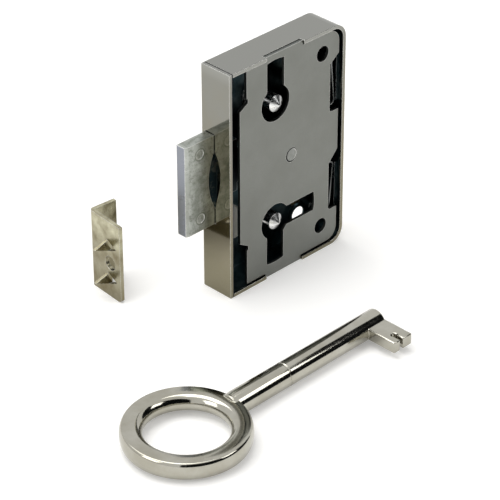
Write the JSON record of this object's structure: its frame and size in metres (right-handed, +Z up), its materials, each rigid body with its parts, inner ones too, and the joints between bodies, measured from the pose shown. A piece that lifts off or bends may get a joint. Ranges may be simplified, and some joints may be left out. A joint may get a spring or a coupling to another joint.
{
  "type": "cupboard rim lock",
  "caption": "Surface-mounted cupboard and drawer lock with a sliding bolt, spring levers, ring-bow pipe key and clawed angle strike plate.",
  "frame": {"origin": "centre of the outer face of the lock's bottom wall, on which the lock stands", "axes": "+X from the forend towards the far wall, the thrown bolt points to -X; +Y from the door face to the back plate, the key enters along +Y; +Z up"},
  "size_m": [0.0999, 0.0769, 0.06],
  "materials": {
    "nickel_case": "nickel-plated sheet steel, satin",
    "nickel_cover": "nickel-plated sheet steel, satin",
    "bright_pins": "turned steel, bright",
    "spring_steel": "bright spring strip",
    "lever_steel": "stamped steel, oiled",
    "ward_brass": "stamped brass strip",
    "cast_bolt": "die-cast zinc, dull nickel plating",
    "key_nickel": "nickel-plated, polished",
    "nickel_strike": "nickel-plated sheet steel, satin"
  },
  "bodies": {
    "case": {"case_tray": "nickel_case", "cover_plate": "nickel_cover", "upper_key_post": "bright_pins", "lower_key_post": "bright_pins", "centre_rivet": "bright_pins", "upper_lever_pin": "bright_pins", "lower_lever_pin": "bright_pins", "upper_spring_peg": "bright_pins", "lower_spring_peg": "bright_pins", "upper_spring": "spring_steel", "lower_spring": "spring_steel", "upper_ward_bridge": "ward_brass", "lower_ward_bridge": "ward_brass"},
    "bolt": {"bolt": "cast_bolt"},
    "upper_lever": {"upper_lever": "lever_steel"},
    "lower_lever": {"lower_lever": "lever_steel"},
    "key": {"key": "key_nickel"},
    "strike": {"strike_plate": "nickel_strike"}
  },
  "joints": [
    {"name": "bolt_slide", "type": "slide", "parent": "case", "child": "bolt", "axis": [1, 0, 0], "range_m": [0, 0.0092]},
    {"name": "upper_lever_pivot", "type": "hinge", "parent": "case", "child": "upper_lever", "pos_m": [0.0118, 0.0008, 0.0403], "axis": [0, 1, 0], "range_deg": [0, 9], "deforming": ["upper_spring"]},
    {"name": "lower_lever_pivot", "type": "hinge", "parent": "case", "child": "lower_lever", "pos_m": [0.0118, 0.0008, 0.0213], "axis": [0, -1, 0], "range_deg": [0, 9], "deforming": ["lower_spring"]},
    {"name": "key_lift", "type": "slide", "parent": "case", "child": "key", "axis": [0, 0, 1], "range_m": [0, 0.03]},
    {"name": "strike_lift", "type": "slide", "parent": "case", "child": "strike", "axis": [0, 0, 1], "range_m": [0, 0.03]}
  ]
}
